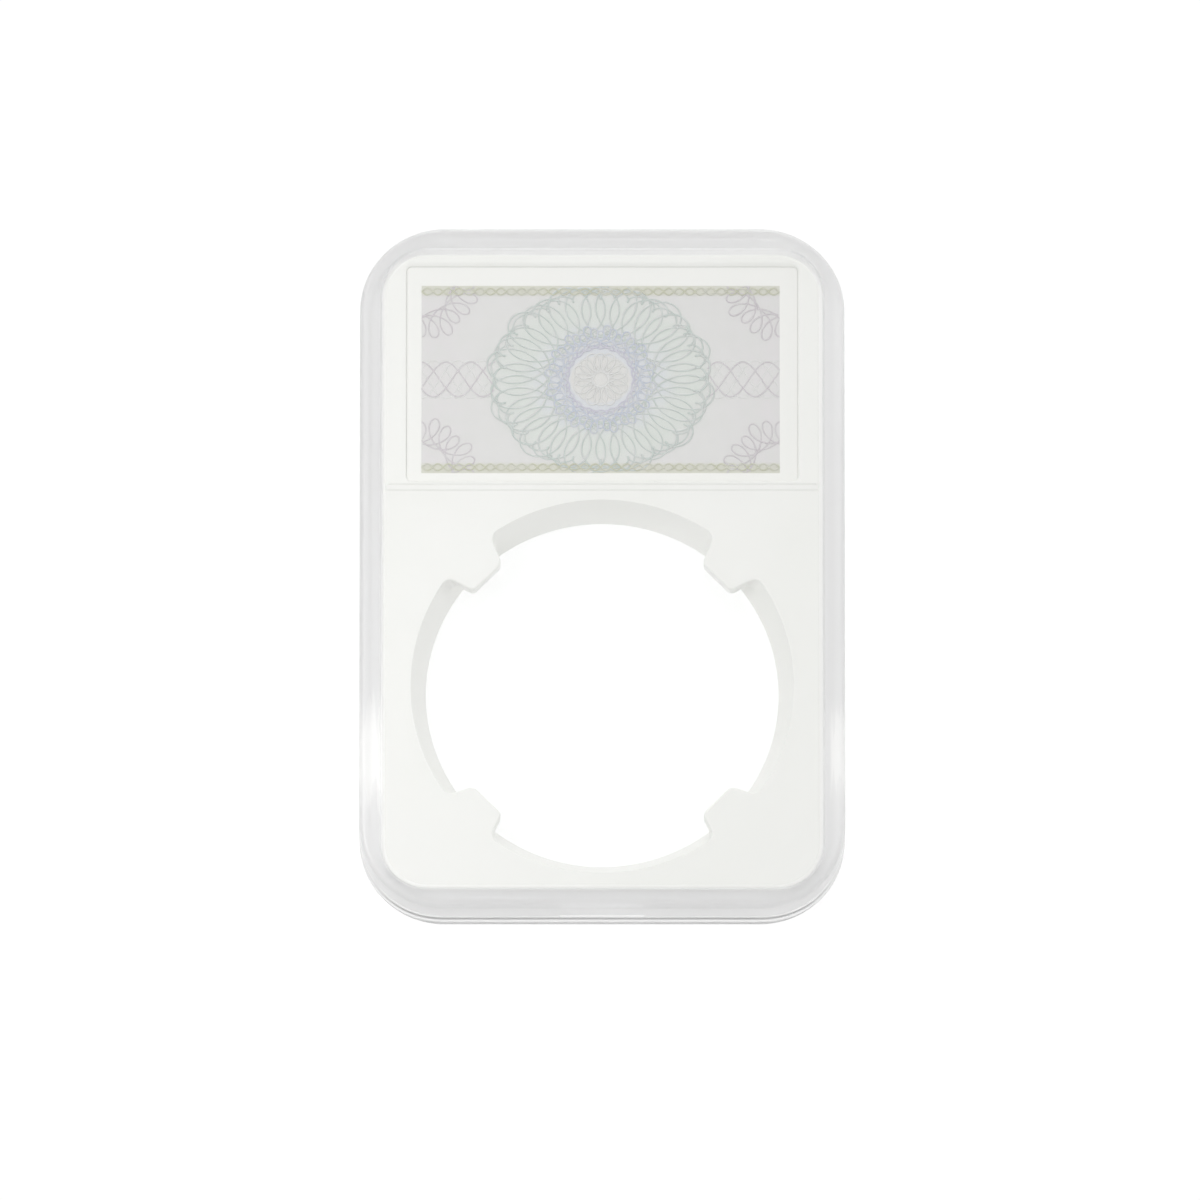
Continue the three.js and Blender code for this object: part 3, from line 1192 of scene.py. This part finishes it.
@dataclass
class LabelCard:
    """The label: a card with rounded corners, and fine raised line work printed on it; pale copies beside two
    of its rosettes are painted highlights.
    """

    card: NodeBox
    corner: float = CARD_CORNER
    edge: float = 0.035
    under_gap: float = 0.02
    print_half_x: float = 22.19
    print_half_y: float = 11.95
    print_middle_x: float = -0.2
    print_middle_y: float = 24.5
    print_corner: float = 0.05
    edge_band_inset: float = 0.75
    line_width: float = 0.15
    line_thickness: float = 0.012
    line_points: int = 420
    height_step: float = 0.0015
    steps_per_family: int = 4
    weave: float = 0.45
    wave_halves: int = 3  # a wave's length, in half widths of the print

    @property
    def field(self) -> RoundedRectangle:
        """The printed part of the card."""
        return RoundedRectangle(self.print_half_x, self.print_half_y, self.print_corner, self.print_middle_y)

    @property
    def design(self) -> list[Rosette | WaveBand]:
        """The families of lines, the lowest first."""
        wide, high = self.print_half_x, self.print_half_y
        corners = [
            Rosette(Ink.ROSE, 5.0, 1.5, gear=-7, copies=3, across=side * wide, up=end * high, growth=0.05)
            for side in (-1, 1)
            for end in (-1, 1)
        ]
        edges = [
            WaveBand(Ink.OLIVE, 0.42, 2.6, copies=2, up=end * (high - self.edge_band_inset))
            for end in (-1, 1)
        ]
        return [
            WaveBand(Ink.PALE_AND_HIGHLIGHT, 2.4, 9.2, copies=6, clear=13.2),
            # Painted highlights: these two pale rosettes copy the green and blue rosettes, shifted a little
            # up and to the left.
            Rosette(Ink.PALE_AND_HIGHLIGHT, 9.6, 3.6, gear=-11, copies=3, across=-0.1, up=0.1, growth=0.04, squash=0.86),
            Rosette(Ink.PALE_AND_HIGHLIGHT, 5.3, 0.9, gear=-15, copies=2, across=-0.08, up=0.08, growth=0.06),
            WaveBand(Ink.ROSE, 2.2, 9.2, copies=3, clear=13.2),
            *corners,
            Rosette(Ink.GREEN, 9.6, 3.6, gear=-11, copies=3, growth=0.04, squash=0.86),
            Rosette(Ink.GREEN, 12.6, 0.7, gear=23, copies=2, growth=0.03, squash=0.86),
            Rosette(Ink.BLUE, 5.3, 0.9, gear=-15, copies=3, growth=0.06),
            Rosette(Ink.VIOLET, 4.2, 0.28, gear=-17, copies=2, growth=0.04),
            Rosette(Ink.PALE_AND_HIGHLIGHT, 2.1, 1.2, gear=-7, copies=2, growth=0.05),
            *edges,
        ]

    def lines_tree(self, ink: Ink, families: dict[type, Graph]) -> Graph:
        """Builds the tree that draws all lines of one ink, cut off at the print's edge.

        Args:
            ink: The ink.
            families: The trees of a rosette and of a wave band.

        Returns:
            The tree, with its sizes as named inputs.
        """
        graph = Graph.of_geometry(f"lines_{ink.name.lower()}")
        _, half_x, half_y, middle, width, thickness, height, step, material = graph.named_inputs({
            "Unused Geometry": "Geometry", "Print Half Width": "Float", "Print Half Height": "Float",
            "Print Middle": "Vector", "Line Width": "Float", "Line Thickness": "Float",
            "Line Height": "Float", "Height Step": "Float", "Material": "Material",
        })
        drawn = [
            self.family_lines(graph, families[type(family)], family, layer, step)
            for layer, family in enumerate(self.design)
            if family.ink is ink
        ]
        lines = graph.wire("GeometryNodeJoinGeometry", {"Geometry": drawn})
        x, y, _ = graph.split(graph.wire("GeometryNodeInputPosition"))
        outside = (abs(x) - half_x).at_least(abs(y) - half_y) > 0.0
        lines = graph.wire("GeometryNodeDeleteGeometry", {"Geometry": lines, "Selection": outside})
        lines = graph.wire("GeometryNodeMeshToCurve", {"Mesh": lines})
        lines = graph.wire("GeometryNodeSetCurveNormal", {"Curve": lines}, mode="Z_UP")
        section = graph.wire("GeometryNodeCurvePrimitiveQuadrilateral", {"Width": width, "Height": thickness})
        ribbons = graph.wire("GeometryNodeCurveToMesh", {
            "Curve": lines, "Profile Curve": section, "Fill Caps": True,
        })
        lift = graph.wire("ShaderNodeVectorMath", {0: graph.joined(Z=height), 1: middle}, operation="ADD")
        ribbons = graph.wire("GeometryNodeSetPosition", {"Geometry": ribbons, "Offset": lift})
        graph.finish_geometry(ribbons, material)
        return graph

    def family_lines(self, graph: Graph, tree: Graph, family: Rosette | WaveBand, layer: int,
                     step: Wire) -> Wire:
        """Adds one family of lines to an ink's tree.

        Args:
            graph: The ink's tree.
            tree: The tree of a rosette or a wave band.
            family: The family's sizes.
            layer: How many families lie below this one.
            step: The height from one line to the next.

        Returns:
            The family's lines.
        """
        base = layer * self.steps_per_family * self.height_step
        sizes = {"Points": self.line_points, "Copies": family.copies, "Height Step": step}
        if isinstance(family, Rosette):
            lobes = abs(family.gear - 1)
            sizes |= {
                "Radius": family.radius * MM,
                "Wave": family.wave * MM,
                "Gear": float(family.gear),
                "Turn": math.tau / lobes / family.copies,
                "Growth": family.growth,
                "Squash": family.squash,
                "Place": Vector((family.across, family.up, base)) * MM,
            }
        else:
            sizes |= {
                "Length": self.wave_halves * self.print_half_x * MM,
                "Amplitude": family.amplitude * MM,
                "Wave Length": family.wave_length * MM,
                "Place": Vector((0, family.up, base)) * MM,
                "Clear Radius": family.clear * MM,
            }
        return graph.wire("GeometryNodeGroup", sizes, node_tree=tree.tree)

    def build_lines(self) -> bpy.types.Object:
        """Draws the line work, ink by ink.

        Returns:
            One piece with all inks, each a material of its own.
        """
        families = {Rosette: looped_lines_tree(self.weave), WaveBand: waved_lines_tree()}
        joined = bmesh.new()
        piece = add_object("label_line_work", bpy.data.meshes.new("label_line_work"))
        for number, ink in enumerate(Ink):
            sheet = add_object(f"lines_{ink.name}", bpy.data.meshes.new(f"lines_{ink.name}"))
            material = ink.material()
            grow(sheet, self.lines_tree(ink, families), {
                "Print Half Width": self.print_half_x * MM,
                "Print Half Height": self.print_half_y * MM,
                "Print Middle": Vector((self.print_middle_x, self.print_middle_y, 0.0)) * MM,
                "Line Width": self.line_width * MM,
                "Line Thickness": self.line_thickness * MM,
                "Line Height": (self.card.high.z + self.line_thickness / 2) * MM,
                "Height Step": self.height_step * MM,
                "Material": material,
            })
            first = len(joined.faces)
            joined.from_mesh(sheet.data)
            joined.faces.ensure_lookup_table()
            for face in joined.faces[first:]:
                face.material_index = number
            piece.data.materials.append(material)
            bpy.data.objects.remove(sheet)
        joined.to_mesh(piece.data)
        joined.free()
        return piece

    def build(self) -> list[bpy.types.Object]:
        """Builds the card in the place of its node, and the line work on it.

        Returns:
            The card and the line work.
        """
        skin = Skin()
        outline = self.card.outline(self.corner)
        low, high, edge = self.card.low.z + self.under_gap, self.card.high.z, self.edge
        rings = skin.rings([
            *rounding(outline, (edge, low), (0, low + edge), Leaves.FLAT),
            *rounding(outline, (0, high - edge), (edge, high), Leaves.UPRIGHT),
        ], SMALL_CORNER_STEPS)
        skin.cap(rings[0])
        skin.cap(rings[-1])
        card = skin.piece("label_card_sheet", PrintedCard(self.field, self.print_middle_x).material())
        smooth(card)
        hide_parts("label_card")
        lines = self.build_lines()
        for piece in (card, lines):
            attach(piece, "label_card")
        return [card, lines]


@dataclass(frozen=True)
class Lamp:
    """A square soft lamp, with its place and its side in metres and its power in watts."""

    name: str
    place: Place
    side: float
    power: float

    def build(self, aim: Vector) -> None:
        """Hangs the lamp.

        Args:
            aim: The point that it faces.
        """
        light = bpy.data.lights.new(self.name, "AREA")
        light.size = self.side
        light.energy = self.power
        made = add_object(self.name, light)
        made.location = self.place
        made.rotation_euler = (Vector(self.place) - aim).to_track_quat("Z", "Y").to_euler()


@dataclass
class PhotoStudio:
    """The white table, the soft light over it and the camera of the photograph.

    The floor, the lamps and the camera's distance are in metres, the sensor is in millimetres.
    """

    middle: Vector
    floor_half: float = 3.0
    floor_gap: float = 0.00005
    floor_glow: float = 0.84
    floor_colour: Colour = (0.2, 0.2, 0.2)
    sky_colour: Colour = (0.79, 0.79, 0.79)
    horizon_colour: Colour = (0.485, 0.49, 0.49)
    sky_heights: Span = (0.05, 0.75)
    lamps: tuple[Lamp, ...] = (
        Lamp("key_lamp", (0.0, 0.7, 0.9), 0.6, 1.35),
        Lamp("side_lamp", (-0.08, -0.012, 0.14), 0.05, 0.043),
        Lamp("top_lamp", (0.0, 0.9, 0.12), 0.3, 0.9),
        Lamp("fill_lamp", (0.9, -0.01, 0.16), 0.3, 0.85),
    )
    lean_down: float = 13.5
    distance: float = 4.0
    sensor: float = 36.0
    photo_pixels: float = 1200.0
    pixels_per_mm: float = 8.08
    slab_pixel: tuple[float, float] = (602.2, 576.3)
    bounces: int = 24

    def floor(self) -> None:
        """Lays a pale floor that glows white and still takes the object's soft shadow."""
        graph, material = Graph.of_material("pale_floor")
        diffuse = graph.wire("ShaderNodeBsdfDiffuse", {"Color": self.floor_colour})
        glow = graph.wire("ShaderNodeEmission", {"Color": WHITE, "Strength": self.floor_glow})
        graph.finish_material(graph.wire("ShaderNodeAddShader", {0: diffuse, 1: glow}))
        half = self.floor_half
        corners = [(x * half, y * half, -self.floor_gap) for x, y in ((-1, -1), (1, -1), (1, 1), (-1, 1))]
        mesh = bpy.data.meshes.new("pale_floor")
        mesh.from_pydata(corners, [], [(0, 1, 2, 3)])
        mesh.materials.append(material)
        add_object("pale_floor", mesh)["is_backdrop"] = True

    def sky(self) -> None:
        """Sets the world's light: white overhead, grey at the horizon, and plain white behind the object."""
        world = bpy.data.worlds.new("soft_box")
        bpy.context.scene.world = world
        world.use_nodes = True
        world.node_tree.nodes.clear()
        graph = Graph(world.node_tree)
        _, _, height = graph.split(graph.wire("ShaderNodeTexCoord", output="Generated"))
        tone = graph.blend(height.eased(*self.sky_heights), self.horizon_colour, self.sky_colour)
        light = graph.wire("ShaderNodeBackground", {"Color": tone, "Strength": 1.0})
        white = graph.wire("ShaderNodeBackground", {"Color": WHITE, "Strength": 1.0})
        seen = graph.ray("Camera").at_least(graph.ray("Glossy")).at_least(graph.ray("Transmission"))
        surface = graph.wire("ShaderNodeMixShader", {0: seen, 1: light, 2: white})
        graph.add("ShaderNodeOutputWorld", {"Surface": surface})

    def camera(self) -> None:
        """Sets the camera at the photograph's viewing angle, with the slab where the photograph has it."""
        back = Vector((0.0, -math.tan(math.radians(self.lean_down)), 1.0)).normalized()
        right = Vector((0.0, 1.0, 0.0)).cross(back).normalized()
        up = back.cross(right)
        data = bpy.data.cameras.new("photo_camera")
        data.sensor_width = self.sensor
        data.lens = self.sensor * self.distance / MM * self.pixels_per_mm / self.photo_pixels
        half = self.photo_pixels / 2
        aside = (half - self.slab_pixel[0]) / self.pixels_per_mm * MM
        above = (self.slab_pixel[1] - half) / self.pixels_per_mm * MM
        place = self.middle + right * aside + up * above + back * self.distance
        made = add_object("photo_camera", data)
        made.matrix_world = Matrix.Translation(place) @ Matrix((right, up, back)).transposed().to_4x4()
        bpy.context.scene.camera = made

    def build(self) -> None:
        """Sets up the floor, the light and the camera."""
        scene = bpy.context.scene
        scene.view_settings.view_transform = "Standard"
        for kind in ("max_bounces", "glossy_bounces", "transmission_bounces"):
            setattr(scene.cycles, kind, self.bounces)
        self.floor()
        self.sky()
        for lamp in self.lamps:
            lamp.build(self.middle)
        self.camera()
        log.info("studio ready")


def main() -> None:
    """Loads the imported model, sets up the studio, and dresses and reports each piece."""
    logging.basicConfig(level=logging.INFO, format="%(name)s: %(message)s")
    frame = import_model()
    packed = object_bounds()
    PhotoStudio((packed[0] + packed[1]) / 2).build()
    back, front = NodeBox.of("back_shell"), NodeBox.of("front_shell")
    insert, card = NodeBox.of("coin_insert"), NodeBox.of("label_card")
    case = back.outline(CASE_CORNER)
    chamber = insert.outline(INSERT_CORNER).drawn_in(-INSERT_CLEARANCE)
    plastic = ClearPlastic(case, chamber).material()
    coin_box = frame["record"]["physics"]["openings"][0]["box_m"]
    coin_middle = Vector([(low + high) / 2 / MM for low, high in zip(*coin_box)][:2])
    pieces = [
        Shell("back_shell", "back_shell_clear", case, chamber, back.low.z, 1, Fit.TONGUE).build(plastic),
        CoinInsert(insert, card, coin_middle).build(WhitePlastic().material()),
        *LabelCard(card).build(),
        Shell("front_shell", "front_shell_clear", case, chamber, front.high.z, -1, Fit.SKIRT).build(plastic),
    ]
    for piece in pieces:
        log.info("%s: %d faces", piece.name, len(piece.data.polygons))


if __name__ == "__main__":
    main()
